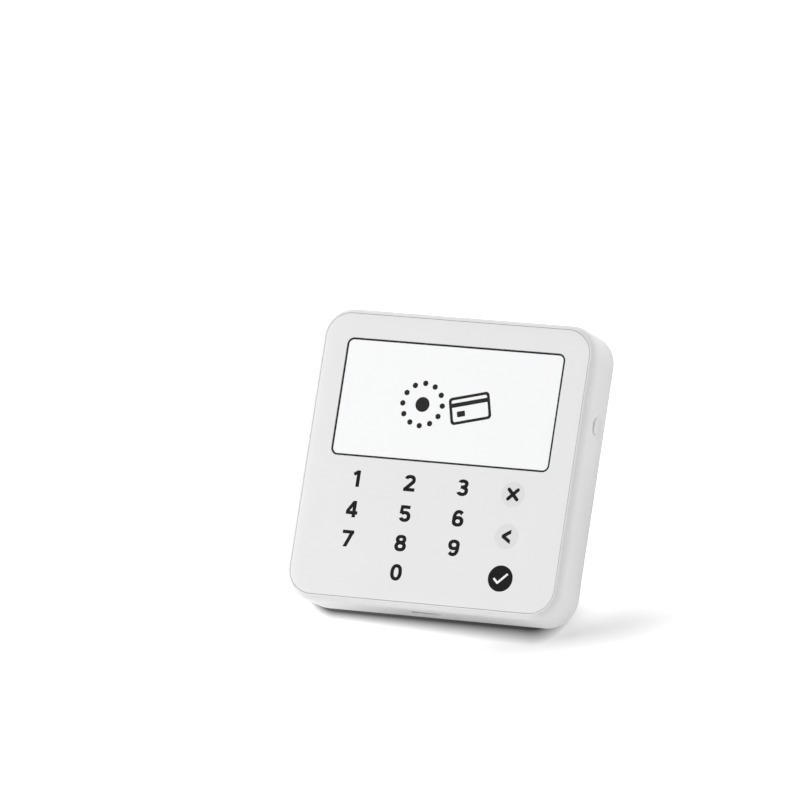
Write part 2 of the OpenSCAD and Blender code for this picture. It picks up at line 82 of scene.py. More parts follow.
# ---- Camera: angles from the face's normal in degrees, distance in metres, aim and lens in millimetres ----
VIEW_RIGHT = 24.3
VIEW_BELOW = 8.988
VIEW_ROLL = 8.766
VIEW_DISTANCE = 2.2967
VIEW_AIM = (-14.49, 16.36)
LENS = 372.6

# ---- Soft lamps: azimuth and elevation in degrees, then watts. Sizes in metres ----
LAMPS = {
    "left_lamp": (180, 35, 12.3),
    "top_lamp": (120, 82, 6.4),
    "near_left_lamp": (225, 60, 4.8),
    "far_right_lamp": (45, 14, 2.2),
}
LAMP_DISTANCE = 1.7
LAMP_SIZE = 0.7
SKY_GLOW = 0.45

# ---- Floor, with a painted shadow: darkest under the near side, and at full brightness a short way off. Millimetres ----
# SEEN values hold for the camera's own rays, and the others for the light that reaches the object.
FLOOR_HALF = 3000.0
FLOOR_GLOW = 0.4
FLOOR_SEEN_GLOW = 1.1
SHADE_DARKEST = 0.05
SHADE_REACH = 24.0
SHADE_SEEN_REACH = 4.4
SHADE_INSET = 21.5
SHADE_SEEN_INSET = 3.5
SHADE_MIDDLE = 4.5
SHADE_SEEN_MIDDLE = -2.8
SHADE_LEAN = 0.2
SHADE_CORNER = 8.7
# A painted shadow off the near right corner: an oval, darkest in its middle, that ends its given size away
# along and across it.
CORNER_SHADOW_CENTRE = (40.0, -42.0)
CORNER_SHADOW_SIZE = (146.0, 20.6)
CORNER_SHADOW_TURN = 14.0
CORNER_SHADOW_DARKEST = 0.36

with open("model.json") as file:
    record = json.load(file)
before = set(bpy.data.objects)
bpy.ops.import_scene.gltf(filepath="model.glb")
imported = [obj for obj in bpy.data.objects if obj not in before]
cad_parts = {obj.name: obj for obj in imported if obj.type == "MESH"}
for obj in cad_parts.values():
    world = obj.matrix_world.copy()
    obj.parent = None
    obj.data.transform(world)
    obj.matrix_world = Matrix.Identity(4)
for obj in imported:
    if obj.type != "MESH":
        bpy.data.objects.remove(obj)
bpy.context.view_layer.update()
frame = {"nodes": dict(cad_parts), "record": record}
FACE_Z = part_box("face_plate")[1].z / MM


# ---- Materials ----

class Recipe:
    """A Principled material and the nodes that feed it, placed by the object's own coordinates."""

    def __init__(self, name, roughness=0.5, metallic=0.0):
        self.material = bpy.data.materials.new(name)
        self.material.use_nodes = True
        self.tree = self.material.node_tree
        self.shader = self.tree.nodes["Principled BSDF"]
        self.shader.inputs["Roughness"].default_value = roughness
        self.shader.inputs["Metallic"].default_value = metallic
        self.place = self.node("ShaderNodeTexCoord").outputs["Object"]

    def node(self, kind, **settings):
        made = self.tree.nodes.new(kind)
        for key, value in settings.items():
            setattr(made, key, value)
        return made

    def link(self, source, target):
        self.tree.links.new(source, target)

    def stretched(self, size):
        """Coordinates in which one unit is size millimetres, along x, y and z."""
        mapping = self.node("ShaderNodeMapping")
        mapping.inputs["Scale"].default_value = [1 / (s * MM) for s in size]
        self.link(self.place, mapping.inputs["Vector"])
        return mapping.outputs["Vector"]

    def noise(self, size, detail=3.0, roughness=0.5):
        """Noise from 0 to 1 whose grain is size millimetres, along x, y and z."""
        made = self.node("ShaderNodeTexNoise")
        made.inputs["Scale"].default_value = 1.0
        made.inputs["Detail"].default_value = detail
        made.inputs["Roughness"].default_value = roughness
        self.link(self.stretched(size), made.inputs["Vector"])
        return made.outputs["Fac"]

    def ramp(self, factor, low, high):
        """factor's range from 0.3 to 0.7 spread over low to high."""
        made = self.node("ShaderNodeMapRange")
        made.inputs["From Min"].default_value = 0.3
        made.inputs["From Max"].default_value = 0.7
        made.inputs["To Min"].default_value = low
        made.inputs["To Max"].default_value = high
        self.link(factor, made.inputs["Value"])
        return made.outputs["Result"]

    def math(self, operation, first, second=0.0):
        """One step of arithmetic on two values, each a number or another node's output."""
        made = self.node("ShaderNodeMath", operation=operation)
        for socket, value in zip(made.inputs, (first, second)):
            if isinstance(value, bpy.types.NodeSocket):
                self.link(value, socket)
            else:
                socket.default_value = value
        return made.outputs["Value"]

    def mix(self, factor, first, second):
        """A colour between two, each an (r, g, b) or another node's output."""
        made = self.node("ShaderNodeMix", data_type="RGBA")
        self.link(factor, made.inputs["Factor"])
        for socket, colour in ((made.inputs[6], first), (made.inputs[7], second)):
            if isinstance(colour, bpy.types.NodeSocket):
                self.link(colour, socket)
            else:
                socket.default_value = (*colour, 1.0)
        return made.outputs[2]

    def colour(self, source):
        self.link(source, self.shader.inputs["Base Color"])

    def roughness(self, source):
        self.link(source, self.shader.inputs["Roughness"])

    def bump(self, height, depth):
        """Raises the surface by up to depth millimetres where height is 1."""
        made = self.node("ShaderNodeBump")
        made.inputs["Distance"].default_value = depth * MM
        self.link(height, made.inputs["Height"])
        self.link(made.outputs["Normal"], self.shader.inputs["Normal"])


def shade(colour, factor):
    """The colour made darker, or lighter up to full white."""
    return tuple(min(1.0, channel * factor) for channel in colour)


def moulded(name, colour, roughness, grain=0.35, depth=0.004, mottle=0.02, coat=0.0, gloss=0.5):
    """Moulded plastic or rubber: a fine eroded grain and a slow drift of shade and gloss."""
    recipe = Recipe(name, roughness)
    drift = recipe.noise((18, 18, 18), detail=2)
    recipe.colour(recipe.mix(drift, shade(colour, 1 - mottle), shade(colour, 1 + mottle)))
    recipe.roughness(recipe.ramp(recipe.noise((3, 3, 3)), roughness - 0.04, roughness + 0.04))
    recipe.bump(recipe.noise((grain, grain, grain), detail=2), depth)
    recipe.shader.inputs["Specular IOR Level"].default_value = gloss
    recipe.shader.inputs["Coat Weight"].default_value = coat
    recipe.shader.inputs["Coat Roughness"].default_value = 0.12
    return recipe.material


def metal(name, colour, roughness, grain=(0.12, 3.0, 0.12)):
    """Sheet or turned metal: fine drawn lines, longest along grain's longest side."""
    recipe = Recipe(name, roughness, metallic=1.0)
    lines = recipe.noise(grain, detail=4)
    recipe.colour(recipe.mix(lines, shade(colour, 0.88), shade(colour, 1.06)))
    recipe.roughness(recipe.ramp(lines, roughness - 0.08, roughness + 0.1))
    recipe.bump(lines, 0.003)
    return recipe.material


def board_green():
    """Solder mask over tracks, which show faintly through it."""
    recipe = Recipe("board_green", 0.32)
    tracks = recipe.node("ShaderNodeTexBrick", offset=0.37, squash=1.6)
    tracks.inputs["Scale"].default_value = 1.0
    tracks.inputs["Brick Width"].default_value = 5.2
    tracks.inputs["Row Height"].default_value = 0.62
    tracks.inputs["Mortar Size"].default_value = 0.11
    tracks.inputs["Color1"].default_value = (0.018, 0.11, 0.045, 1)
    tracks.inputs["Color2"].default_value = (0.022, 0.135, 0.055, 1)
    tracks.inputs["Mortar"].default_value = (0.05, 0.23, 0.1, 1)
    recipe.link(recipe.stretched((1, 1, 1)), tracks.inputs["Vector"])
    drift = recipe.noise((9, 9, 9))
    recipe.colour(recipe.mix(drift, tracks.outputs["Color"], (0.025, 0.15, 0.06)))
    recipe.roughness(recipe.ramp(drift, 0.26, 0.38))
    recipe.bump(tracks.outputs["Fac"], 0.02)
    return recipe.material


def ribbon_amber():
    """Amber film with copper tracks along it, which show through."""
    recipe = Recipe("ribbon_amber", 0.28)
    tracks = recipe.node("ShaderNodeTexWave", bands_direction="X", wave_profile="SIN")
    tracks.inputs["Scale"].default_value = 0.32
    tracks.inputs["Distortion"].default_value = 0.0
    recipe.link(recipe.stretched((0.5, 0.5, 0.5)), tracks.inputs["Vector"])
    recipe.colour(recipe.mix(tracks.outputs["Fac"], (0.62, 0.27, 0.04), (0.85, 0.46, 0.12)))
    recipe.roughness(recipe.ramp(recipe.noise((2, 2, 2)), 0.22, 0.34))
    recipe.bump(tracks.outputs["Fac"], 0.01)
    return recipe.material


def battery_foil():
    """Pouch foil with fine wrinkles."""
    recipe = Recipe("battery_foil", 0.36, metallic=0.85)
    wrinkles = recipe.noise((6, 2.5, 6), detail=5, roughness=0.62)
    recipe.colour(recipe.mix(wrinkles, (0.5, 0.52, 0.55), (0.66, 0.68, 0.7)))
    recipe.roughness(recipe.ramp(wrinkles, 0.28, 0.46))
    recipe.bump(wrinkles, 0.06)
    return recipe.material


def lit_screen():
    """White sheet behind the pane, evenly lit from behind, with a faint grid of picture cells."""
    recipe = Recipe("display_lit", 0.5)
    cells = recipe.node("ShaderNodeTexChecker")
    cells.inputs["Scale"].default_value = 1.0
    cells.inputs["Color1"].default_value = (0.78, 0.785, 0.79, 1)
    cells.inputs["Color2"].default_value = (0.8, 0.805, 0.81, 1)
    recipe.link(recipe.stretched((0.12, 0.12, 0.12)), cells.inputs["Vector"])
    glow = recipe.mix(recipe.noise((30, 22, 30), detail=1), (0.96, 0.965, 0.97), (1.0, 1.0, 1.0))
    recipe.colour(cells.outputs["Color"])
    recipe.link(glow, recipe.shader.inputs["Emission Color"])
    recipe.shader.inputs["Emission Strength"].default_value = SCREEN_GLOW
    return recipe.material


def clear_pane():
    """Clear glass with a faint fingertip haze: lets light straight through and mirrors a little of it."""
    recipe = Recipe("window_clear", 0.05)
    recipe.roughness(recipe.ramp(recipe.noise((14, 9, 14)), 0.03, 0.08))
    recipe.shader.inputs["Metallic"].default_value = 1.0
    recipe.shader.inputs["Base Color"].default_value = (1, 1, 1, 1)
    mirror = recipe.node("ShaderNodeFresnel")
    mirror.inputs["IOR"].default_value = 1.45
    # Only front faces mirror. Back faces would turn away slanted light that comes off the sheet
    front = recipe.math("SUBTRACT", 1.0, recipe.node("ShaderNodeNewGeometry").outputs["Backfacing"])
    through = recipe.node("ShaderNodeBsdfTransparent")
    blend = recipe.node("ShaderNodeMixShader")
    recipe.link(recipe.math("MULTIPLY", mirror.outputs["Fac"], front), blend.inputs["Fac"])
    recipe.link(through.outputs["BSDF"], blend.inputs[1])
    recipe.link(recipe.shader.outputs["BSDF"], blend.inputs[2])
    recipe.link(blend.outputs["Shader"], recipe.tree.nodes["Material Output"].inputs["Surface"])
    return recipe.material


def past(recipe, value, middle, half):
    """How far a value lies outside middle minus half to middle plus half, in metres."""
    offset = recipe.math("ABSOLUTE", recipe.math("SUBTRACT", value, middle))
    return recipe.math("MAXIMUM", recipe.math("SUBTRACT", offset, half), 0.0)


def distance(recipe, x, y):
    """How long the step is whose parts are x and y."""
    squares = recipe.math("ADD", recipe.math("POWER", x, 2.0), recipe.math("POWER", y, 2.0))
    return recipe.math("SQRT", squares)


def spread(recipe, value, end, low, high):
    """low where the value is 0, rising evenly to high where it is end."""
    made = recipe.node("ShaderNodeMapRange")
    made.inputs["To Min"].default_value = low
    made.inputs["To Max"].default_value = high
    if isinstance(end, bpy.types.NodeSocket):
        recipe.link(end, made.inputs["From Max"])
    else:
        made.inputs["From Max"].default_value = end
    recipe.link(value, made.inputs["Value"])
    return made.outputs["Result"]


def corner_painted_shadow(recipe, seen):
    """Below 1 on a faint long painted shadow off the near right corner, and 1 elsewhere. Only the camera
    sees it.
    """
    blob = recipe.node("ShaderNodeMapping", vector_type="TEXTURE")
    blob.inputs["Location"].default_value = (CORNER_SHADOW_CENTRE[0] * MM, CORNER_SHADOW_CENTRE[1] * MM, 0)
    blob.inputs["Rotation"].default_value = (0, 0, math.radians(CORNER_SHADOW_TURN))
    blob.inputs["Scale"].default_value = (CORNER_SHADOW_SIZE[0] * MM, CORNER_SHADOW_SIZE[1] * MM, 1)
    recipe.link(recipe.place, blob.inputs["Vector"])
    reach = recipe.node("ShaderNodeVectorMath", operation="LENGTH")
    recipe.link(blob.outputs["Vector"], reach.inputs[0])
    corner_shadow = spread(recipe, reach.outputs["Value"], 1.0, CORNER_SHADOW_DARKEST, 1.0)
    return recipe.math("MAXIMUM", corner_shadow, recipe.math("SUBTRACT", 1.0, seen))


def painted_contact_shadow(recipe, seen):
    """Painted shadow: from SHADE_DARKEST on the floor close under the casing's near half to 1 away from it.
    """
    low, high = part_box("rear_shell")
    axes = recipe.node("ShaderNodeSeparateXYZ")
    recipe.link(recipe.place, axes.inputs["Vector"])
    corner = SHADE_CORNER * MM
    near, far = low.y - SHADE_LEAN * MM, 0.0
    wide = high.x - corner
    half = spread(recipe, seen, 1.0, wide - SHADE_INSET * MM, wide - SHADE_SEEN_INSET * MM)
    middle = spread(recipe, seen, 1.0, SHADE_MIDDLE * MM, SHADE_SEEN_MIDDLE * MM)
    past_x = past(recipe, axes.outputs["X"], middle, half)
    past_y = past(recipe, axes.outputs["Y"], (near + far) / 2, (far - near) / 2 - corner)
    gap = recipe.math("SUBTRACT", distance(recipe, past_x, past_y), corner)
    reach = spread(recipe, seen, 1.0, SHADE_REACH * MM, SHADE_SEEN_REACH * MM)
    strip = spread(recipe, gap, reach, SHADE_DARKEST, 1.0)
    return recipe.math("MULTIPLY", strip, corner_painted_shadow(recipe, seen))


def floor_white():
    """White floor that glows like an overlit studio table, brighter to the camera than to the object, with a
    painted shadow under the near side and off the near right corner.
    """
    recipe = Recipe("floor_white", 0.9)
    recipe.bump(recipe.noise((1.5, 1.5, 1.5)), 0.02)
    seen = recipe.node("ShaderNodeLightPath").outputs["Is Camera Ray"]
    contact = painted_contact_shadow(recipe, seen)
    drift = recipe.mix(recipe.noise((40, 40, 40)), (0.925, 0.925, 0.925), (0.935, 0.935, 0.935))
    # Painted shadow: the floor's colour and its glow are darkened under the near side and off the near right
    # corner.
    recipe.colour(recipe.mix(contact, (0.0, 0.0, 0.0), drift))
    glow = spread(recipe, seen, 1.0, FLOOR_GLOW, FLOOR_SEEN_GLOW)
    recipe.shader.inputs["Emission Color"].default_value = (1, 1, 1, 1)
    recipe.link(recipe.math("MULTIPLY", glow, contact), recipe.shader.inputs["Emission Strength"])
    return recipe.material


MOULDED = {
    "casing_white": dict(colour=(0.745, 0.745, 0.745), roughness=0.42, coat=0.06),
    "foot_rubber": dict(colour=(0.1, 0.105, 0.11), roughness=0.78, grain=0.25, depth=0.02, mottle=0.06),
    "label_film": dict(colour=(0.55, 0.56, 0.57), roughness=0.36, grain=0.8, depth=0.003),
    "adhesive_foam": dict(colour=(0.014, 0.014, 0.015), roughness=0.9, grain=0.3, depth=0.05, mottle=0.1),
    "clear_film": dict(colour=(0.62, 0.7, 0.73), roughness=0.16, grain=2, depth=0.002, coat=0.4),
    "display_grey": dict(colour=(0.4, 0.44, 0.46), roughness=0.14, grain=2, depth=0.002, coat=0.5),
    "light_guide": dict(colour=(0.8, 0.81, 0.8), roughness=0.3, grain=0.5, depth=0.003),
    "ferrite": dict(colour=(0.018, 0.017, 0.017), roughness=0.62, grain=0.18, depth=0.012, mottle=0.12),
    "frame_grey": dict(colour=(0.09, 0.094, 0.098), roughness=0.58, grain=0.3, depth=0.012, mottle=0.05),
    "connector_ivory": dict(colour=(0.72, 0.69, 0.6), roughness=0.5, grain=0.25, depth=0.004),
    "pad_black": dict(colour=(0.012, 0.012, 0.012), roughness=0.8, grain=0.2, depth=0.015, mottle=0.1),
    "chip_black": dict(colour=(0.014, 0.014, 0.016), roughness=0.55, grain=0.1, depth=0.006, mottle=0.05),
    "component_tan": dict(colour=(0.32, 0.2, 0.11), roughness=0.42, grain=0.15, depth=0.004, mottle=0.12),
    "reader_black": dict(colour=(0.02, 0.02, 0.022), roughness=0.5, grain=0.25, depth=0.01, mottle=0.06),
    "wire_red": dict(colour=(0.42, 0.015, 0.01), roughness=0.42, grain=0.4, depth=0.006, mottle=0.04),
    "buzzer_black": dict(colour=(0.016, 0.016, 0.016), roughness=0.48, grain=0.3, depth=0.006, mottle=0.05),
    "legend_black": dict(
        colour=(0.006, 0.006, 0.006), roughness=0.6, grain=0.15, depth=0.001, mottle=0.05, gloss=0.12,
    ),
    "legend_grey": dict(colour=(0.68, 0.68, 0.68), roughness=0.5, grain=0.2, depth=0.002),
    "legend_white": dict(colour=(0.86, 0.86, 0.86), roughness=0.5, grain=0.2, depth=0.002),
    "display_ink": dict(colour=(0.006, 0.006, 0.006), roughness=0.6, grain=0.2, depth=0.001, gloss=0.1),
}

METALS = {
    "screw_steel": dict(colour=(0.6, 0.6, 0.59), roughness=0.32, grain=(0.6, 0.6, 0.1)),
    "copper": dict(colour=(0.78, 0.36, 0.2), roughness=0.3, grain=(2.0, 0.15, 0.15)),
    "tin_plate": dict(colour=(0.74, 0.73, 0.71), roughness=0.3, grain=(3.0, 0.14, 0.14)),
    "guide_steel": dict(colour=(0.7, 0.7, 0.69), roughness=0.36),
    "contact_gold": dict(colour=(0.95, 0.66, 0.26), roughness=0.22, grain=(0.1, 1.2, 0.1)),
}

FINISHES = {
    "window_clear": clear_pane(),
    "display_lit": lit_screen(),
    "board_green": board_green(),
    "ribbon_amber": ribbon_amber(),
    "battery_foil": battery_foil(),
}
for slot_name, looks in MOULDED.items():
    FINISHES[slot_name] = moulded(slot_name, **looks)
for slot_name, looks in METALS.items():
    FINISHES[slot_name] = metal(slot_name, **looks)


def dress_frame():
    """Gives every CAD node the finish of its slot."""
    for part in frame["record"]["subparts"]:
        node = frame["nodes"][part["node"]]
        node.material_slots[0].material = FINISHES[part["material_slot"]]


# ---- Flat shapes: functions of x and y that are negative inside, in millimetres ----

def line(x0, y0, x1, y1, width):
    """A straight stroke with square ends."""
    length = math.hypot(x1 - x0, y1 - y0)
    ux, uy = (x1 - x0) / length, (y1 - y0) / length

    def shape(x, y):
        along = (x - x0) * ux + (y - y0) * uy
        across = (y - y0) * ux - (x - x0) * uy
        return np.maximum(np.abs(along - length / 2) - length / 2, np.abs(across) - width / 2)

    return shape


def round_line(x0, y0, x1, y1, width):
    """A straight stroke with round ends."""
    length = math.hypot(x1 - x0, y1 - y0)
    ux, uy = (x1 - x0) / length, (y1 - y0) / length

    def shape(x, y):
        along = np.clip((x - x0) * ux + (y - y0) * uy, 0, length)
        return np.hypot(x - x0 - along * ux, y - y0 - along * uy) - width / 2

    return shape


def disc(x0, y0, radius):
    """A filled circle."""
    def shape(x, y):
        return np.hypot(x - x0, y - y0) - radius

    return shape


def oval(x0, y0, rx, ry, power=2.0):
    """An ellipse, or a squarer oval with a power above 2."""
    def shape(x, y):
        reach = (np.abs((x - x0) / rx) ** power + np.abs((y - y0) / ry) ** power) ** (1 / power)
        return (reach - 1) * min(rx, ry)

    return shape


def box_shape(x0, y0, x1, y1):
    """A filled rectangle with sharp corners."""
    def shape(x, y):
        return np.maximum(
            np.abs(x - (x0 + x1) / 2) - (x1 - x0) / 2,
            np.abs(y - (y0 + y1) / 2) - (y1 - y0) / 2,
        )

    return shape


def rounded_box(x0, y0, x1, y1, radius):
    """A filled rectangle with round corners."""
    def shape(x, y):
        dx = np.abs(x - (x0 + x1) / 2) - (x1 - x0) / 2 + radius
        dy = np.abs(y - (y0 + y1) / 2) - (y1 - y0) / 2 + radius
        outside = np.hypot(np.maximum(dx, 0), np.maximum(dy, 0))
        return outside + np.minimum(np.maximum(dx, dy), 0) - radius

    return shape


def wedge(x0, y0, start, end):
    """The directions from start to end, in degrees and counter-clockwise, seen from x0, y0."""
    a, b = math.radians(start), math.radians(end)

    def shape(x, y):
        after_start = (x - x0) * math.sin(a) - (y - y0) * math.cos(a)
        before_end = (y - y0) * math.cos(b) - (x - x0) * math.sin(b)
        if end - start <= 180:
            return np.maximum(after_start, before_end)
        return np.minimum(after_start, before_end)

    return shape


def both(*shapes):
    """What lies in every one of the shapes."""
    return lambda x, y: np.maximum.reduce([shape(x, y) for shape in shapes])


def any_of(*shapes):
    """What lies in at least one of the shapes."""
    return lambda x, y: np.minimum.reduce([shape(x, y) for shape in shapes])


def without(shape, *cuts):
    """What lies in the shape and in none of the cuts."""
    return lambda x, y: np.maximum.reduce([shape(x, y)] + [-cut(x, y) for cut in cuts])


def moved(shape, dx, dy, turn=0.0):
    """The shape turned counter-clockwise by turn degrees and then shifted."""
    c, s = math.cos(math.radians(turn)), math.sin(math.radians(turn))

    def made(x, y):
        px, py = x - dx, y - dy
        return shape(px * c + py * s, py * c - px * s)

    return made


def bowl(x0, y0, rx, ry, start=None, end=None, power=2.25):
    """A digit's round stroke, between an outer oval and an inner one, cut to a range of directions."""
    ring = without(oval(x0, y0, rx, ry, power), oval(x0, y0, rx - STROKE, ry - BAR, power))
    return ring if start is None else both(ring, wedge(x0, y0, start, end))


# ---- Digits: each fills DIGIT_W by DIGIT_H round its centre ----

HALF_W = DIGIT_W / 2
HALF_H = DIGIT_H / 2
BAR_TOP = HALF_H - BAR / 2
BAR_LOW = -BAR_TOP


def digit_box(shape):
    """Trims a digit's strokes to its box."""
    return both(shape, box_shape(-HALF_W, -HALF_H, HALF_W, HALF_H))


def digit_0():
    return bowl(0, 0, HALF_W, HALF_H)


def digit_1():
    stem = line(0.42, -HALF_H, 0.42, HALF_H, STROKE)
    flag = line(-0.98, 1.12, 0.5, 2.12, BAR)
    return digit_box(any_of(stem, flag))


def digit_2():
    arc = bowl(0, 0.9, HALF_W - 0.06, HALF_H - 0.9, -38, 168)
    slope = line(1.06, 0.42, -1.36, -1.9, STROKE)
    base = line(-HALF_W + 0.03, BAR_LOW, HALF_W - 0.03, BAR_LOW, BAR)
    return digit_box(any_of(arc, slope, base))


def digit_3():
    upper = bowl(-0.02, 1.06, HALF_W - 0.14, HALF_H - 1.06, -92, 160)
    lower = bowl(0, -0.9, HALF_W, HALF_H - 0.9, -162, 92)
    middle = line(-0.62, 0.15, 0.15, 0.15, BAR)
    return digit_box(any_of(upper, lower, middle))


def digit_4():
    stem = line(0.66, -HALF_H, 0.66, HALF_H, STROKE)
    shelf = line(-HALF_W, -1.02, HALF_W, -1.02, BAR)
    slope = line(0.62, 2.25, -1.5, -0.98, STROKE * 0.92)
    return digit_box(any_of(stem, shelf, slope))


def digit_5():
    top = line(-1.2, BAR_TOP, 1.36, BAR_TOP, BAR)
    side = line(-1.02, 2.3, -1.2, -0.1, STROKE * 0.9)
    belly = bowl(-0.02, -0.78, HALF_W - 0.02, HALF_H - 0.78, -160, 148)
    return digit_box(any_of(top, side, belly))


def digit_6():
    ring = bowl(0, -0.84, HALF_W - 0.02, HALF_H - 0.84)
    back = bowl(0.1, 0, HALF_W + 0.08, HALF_H, 52, 215)
    return digit_box(any_of(ring, back))


def digit_7():
    top = line(-HALF_W, BAR_TOP, HALF_W, BAR_TOP, BAR)
    leg = line(1.28, 2.1, -0.72, -2.6, STROKE)
    return digit_box(any_of(top, leg))


def digit_8():
    upper = bowl(0, 1.04, HALF_W - 0.16, HALF_H - 1.04)
    lower = bowl(0, -0.89, HALF_W, HALF_H - 0.89)
    return any_of(upper, lower)


def digit_9():
    return moved(digit_6(), 0, 0, 180)


DIGITS = {
    "0": digit_0, "1": digit_1, "2": digit_2, "3": digit_3, "4": digit_4,
    "5": digit_5, "6": digit_6, "7": digit_7, "8": digit_8, "9": digit_9,
}


# ---- Key marks ----

def cancel_mark():
    """A plain cross."""
    return any_of(round_line(-1.34, -1.34, 1.34, 1.34, 1.0), round_line(-1.34, 1.34, 1.34, -1.34, 1.0))


def back_mark():
    """A plain arrowhead that points left."""
    arms = any_of(line(-1.3, -0.12, 1.4, 1.6, 1.0), line(-1.3, 0.12, 1.4, -1.6, 1.0))
    return both(arms, box_shape(-1.75, -2.05, 1.2, 2.05))


def confirm_mark():
    """A plain tick."""
    return any_of(line(-1.98, -0.05, -0.62, -1.36, 0.6), line(-0.83, -1.38, 2.02, 1.44, 0.6))


# ---- Display picture ----

def dot_ring():
    """Twelve dots in a ring, with a bigger one in the middle."""
    dots = [
        disc(6.0 * math.cos(i * math.pi / 6), 6.0 * math.sin(i * math.pi / 6), 0.78)
        for i in range(12)
    ]
    return any_of(disc(0, 0, 2.1), *dots)


def card_picture():
    """A blank card: outline, stripe and chip."""
    outline = without(rounded_box(-6.1, -3.9, 6.1, 3.9, 1.1), rounded_box(-5.3, -3.1, 5.3, 3.1, 0.5))
    stripe = box_shape(-5.6, 1.0, 5.6, 2.2)
    chip = rounded_box(-4.0, -1.9, -1.6, -0.3, 0.3)
    return any_of(outline, stripe, chip)


# ---- Meshes ----

def solid_piece(name, points, faces, finish):
    """A mesh piece that rides on the terminal, in the finish of that name. points are in millimetres."""
    mesh = bpy.data.meshes.new(name)
    mesh.from_pydata([Vector(p) * MM for p in points], [], faces)
    mesh.validate()
    mesh.update()
    made = bpy.data.objects.new(name, mesh)
    made.data.materials.append(FINISHES[finish])
    bpy.context.scene.collection.objects.link(made)
    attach(made, BODY)
    return made


def fill_shape(shape, low, high, cell):
    """Points and counter-clockwise faces that fill a shape between two corners, on a square grid."""
    columns = int(math.ceil((high[0] - low[0]) / cell)) + 2
    rows = int(math.ceil((high[1] - low[1]) / cell)) + 2
    xs = low[0] - cell / 2 + cell * np.arange(columns + 1)
    ys = low[1] - cell / 2 + cell * np.arange(rows + 1)
    depth = shape(*np.meshgrid(xs, ys, indexing="ij"))
    # Grid points that all but touch the outline count as inside, so no face is a sliver
    least = cell * 0.03
    depth = np.where(np.abs(depth) < least, -least, depth)
    inside = depth < 0
    found = inside[:-1, :-1] | inside[1:, :-1] | inside[1:, 1:] | inside[:-1, 1:]
    points, faces, index = [], [], {}

    def point(key, x, y):
        if key not in index:
            index[key] = len(points)
            points.append((x, y))
        return index[key]

    def crossing(a, b):
        """Where the outline crosses the grid line from grid point a to grid point b."""
        a, b = sorted((a, b))
        t = depth[a] / (depth[a] - depth[b])
        x = xs[a[0]] + t * (xs[b[0]] - xs[a[0]])
        y = ys[a[1]] + t * (ys[b[1]] - ys[a[1]])
        return point((a, b), x, y)

    for i, j in np.argwhere(found):
        corners = [(i, j), (i + 1, j), (i + 1, j + 1), (i, j + 1)]
        face = []
        for corner, after in zip(corners, corners[1:] + corners[:1]):
            if inside[corner]:
                face.append(point((corner, corner), xs[corner[0]], ys[corner[1]]))
            if inside[corner] != inside[after]:
                face.append(crossing(corner, after))
        faces.append(face)
    return points, faces


def thicken(points, faces, low, high):
    """Closes a flat filling into a solid whose underside and top lie at low(x, y) and high(x, y)."""
    count = len(points)
    edges = {(a, b) for face in faces for a, b in zip(face, face[1:] + face[:1])}
    rim = sorted(edge for edge in edges if edge[::-1] not in edges)
    corners = [(x, y, high(x, y)) for x, y in points] + [(x, y, low(x, y)) for x, y in points]
    underside = [[count + k for k in reversed(face)] for face in faces]
    sides = [[b, a, count + a, count + b] for a, b in rim]
    return corners, faces + underside + sides


def face_surface():
    """A function that gives the face plate's height over a point, in millimetres."""
    plate = frame["nodes"]["face_plate"].data
    tree = BVHTree.FromPolygons([v.co for v in plate.vertices], [p.vertices for p in plate.polygons])

    def height(x, y):
        hit = tree.ray_cast(Vector((x * MM, y * MM, 1.0)), Vector((0, 0, -1)))[0]
        return hit.z / MM

    return height


def cut_out(name, shape, centre, reach, cell, low, high, finish):
    """A thin piece in a flat shape's outline, between the heights low(x, y) and high(x, y).
    The shape ends within reach of its centre, and cell is the spacing of the piece's grid."""
    corner = (centre[0] - reach[0], centre[1] - reach[1])
    opposite = (centre[0] + reach[0], centre[1] + reach[1])
    points, faces = thicken(*fill_shape(shape, corner, opposite, cell), low, high)
    solid_piece(name, points, faces, finish)


# ---- Keypad print ----

surface = face_surface()


def printed(name, shape, centre, reach, finish, layer=1, cell=MARK_CELL):
    """A thin print on the face, which follows its roll-off. Layer 2 lies on layer 1."""
    bottom = INK * (layer - 1) - INK_ROOTS[layer - 1]
    top = INK * layer
    cut_out(
        name, moved(shape, *centre), centre, reach, cell,
        lambda x, y: surface(x, y) + bottom,
        lambda x, y: surface(x, y) + top,
        finish,
    )


def keypad():
    """The ten digits, in rows and columns."""
    reach = (HALF_W + 0.1, HALF_H + 0.1)
    for y, row in zip(KEY_ROWS, KEY_LAYOUT):
        for x, digit in zip(KEY_COLUMNS, row):
            if digit != " ":
                printed("digit_" + digit, DIGITS[digit](), (x, y), reach, "legend_black")


def function_keys():
    """Cancel, back and confirm: a mark on a disc each, in a column right of the digits."""
    grey, black = GREY_DISC / 2, BLACK_DISC / 2
    for name, y, radius, mark, finish in (
        ("cancel", CANCEL_Y, grey, cancel_mark(), "legend_grey"),
        ("back", BACK_Y, grey, back_mark(), "legend_grey"),
        ("confirm", CONFIRM_Y, black, confirm_mark(), "legend_black"),
    ):
        centre = (FUNCTION_COLUMN, y)
        ink = "legend_white" if finish == "legend_black" else "legend_black"
        printed(name + "_disc", disc(0, 0, radius), centre, (radius, radius), finish, cell=DISC_CELL)
        printed(name + "_mark", mark, centre, (MARK_REACH, MARK_REACH), ink, layer=2)


# ---- Display ----

def rounded_loop(x0, y0, x1, y1, radius, steps=10):
    """Counter-clockwise points of a rounded rectangle."""
    loop = []
    turns = ((x1 - radius, y0 + radius, -90), (x1 - radius, y1 - radius, 0),
             (x0 + radius, y1 - radius, 90), (x0 + radius, y0 + radius, 180))
    for cx, cy, start in turns:
        for step in range(steps + 1):
            angle = math.radians(start + 90 * step / steps)
            loop.append((cx + radius * math.cos(angle), cy + radius * math.sin(angle)))
    return loop


